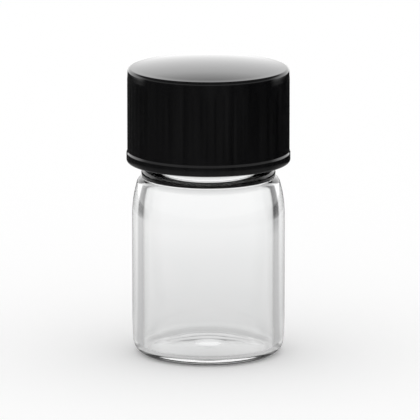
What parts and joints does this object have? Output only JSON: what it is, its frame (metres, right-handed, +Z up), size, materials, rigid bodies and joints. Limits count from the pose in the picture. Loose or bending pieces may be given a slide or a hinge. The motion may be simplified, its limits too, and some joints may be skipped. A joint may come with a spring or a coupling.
{
  "type": "glass sample vial with screw cap",
  "caption": "Short clear-glass sample vial with a glossy black screw cap, which turns up and off its threaded neck, and a flat liner disc inside the cap.",
  "frame": {"origin": "centre of the ring that the vial stands on, on the vial's own axis", "axes": "+Z up along the vial's axis, from the base to the cap; +X and +Y are any two directions across it"},
  "size_m": [0.0178, 0.0178, 0.0323],
  "materials": {
    "clear_glass": "clear fire-polished glass",
    "black_plastic": "polished black thermoset moulding",
    "white_liner": "matt white foamed polyethylene"
  },
  "bodies": {
    "vial": {"glass_vial": "clear_glass"},
    "liner": {"cap_liner": "white_liner"},
    "cap": {"screw_cap": "black_plastic"}
  },
  "joints": [
    {"name": "cap_lift", "type": "slide", "parent": "vial", "child": "liner", "axis": [0, 0, 1], "range_m": [0, 0.01059]},
    {"name": "cap_turn", "type": "hinge", "parent": "liner", "child": "cap", "pos_m": [0, 0, 0.03], "axis": [0, 0, 1], "range_deg": [0, 1800]}
  ],
  "couplings": [
    {"joint": "cap_lift", "follows": "cap_turn", "m_per_rad": 0.00033693}
  ]
}
